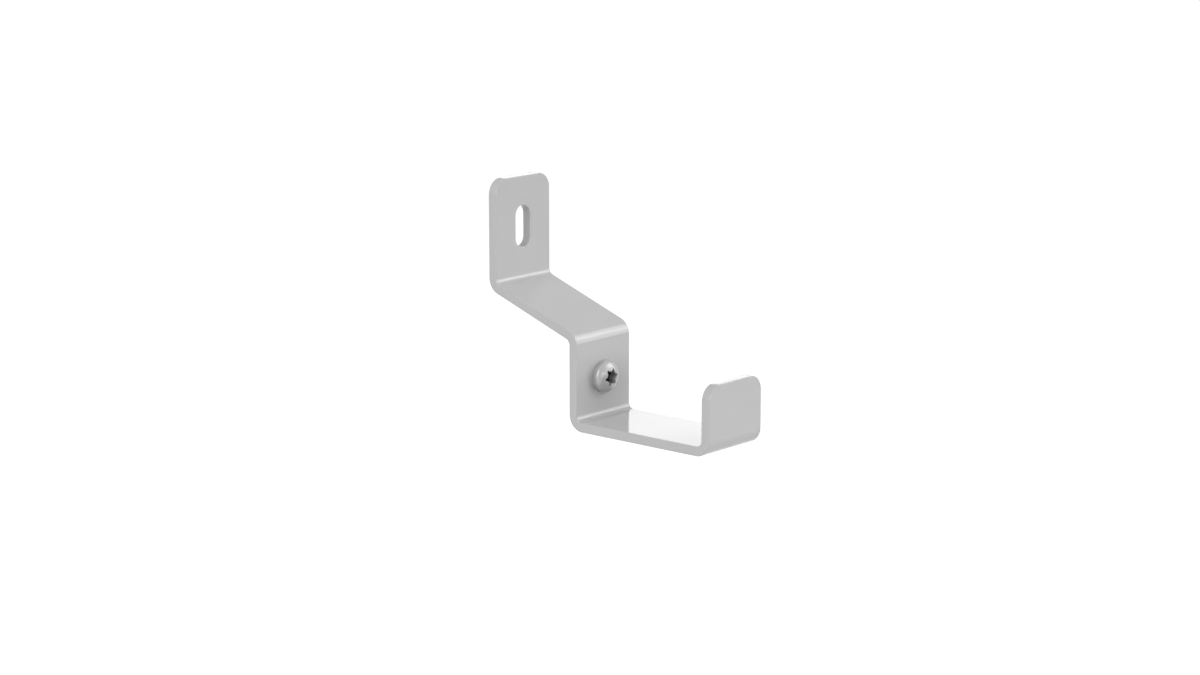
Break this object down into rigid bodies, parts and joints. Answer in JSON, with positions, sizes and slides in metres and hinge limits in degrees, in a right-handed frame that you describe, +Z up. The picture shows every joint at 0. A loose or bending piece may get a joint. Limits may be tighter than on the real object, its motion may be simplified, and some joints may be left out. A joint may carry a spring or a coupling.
{
  "type": "cable tray wall bracket",
  "caption": "Folded steel strip that bolts to a wall through an upright slot and holds a narrow cable tray on a shelf with an upturned lip and a clamping screw.",
  "frame": {"origin": "centre of the wall slot, on the face that lies against the wall", "axes": "+X out from the wall, +Y across the strip, +Z up"},
  "size_m": [0.0882, 0.025, 0.0747],
  "materials": {
    "strip_paint": "smooth light-grey gloss paint, even face on, with a clear reflection at low angles",
    "screw_steel": "dull silver-grey plated steel with a soft shine, darker in the recess"
  },
  "bodies": {
    "root": {"bracket_strip": "strip_paint", "tray_screw": "screw_steel"}
  },
  "joints": []
}
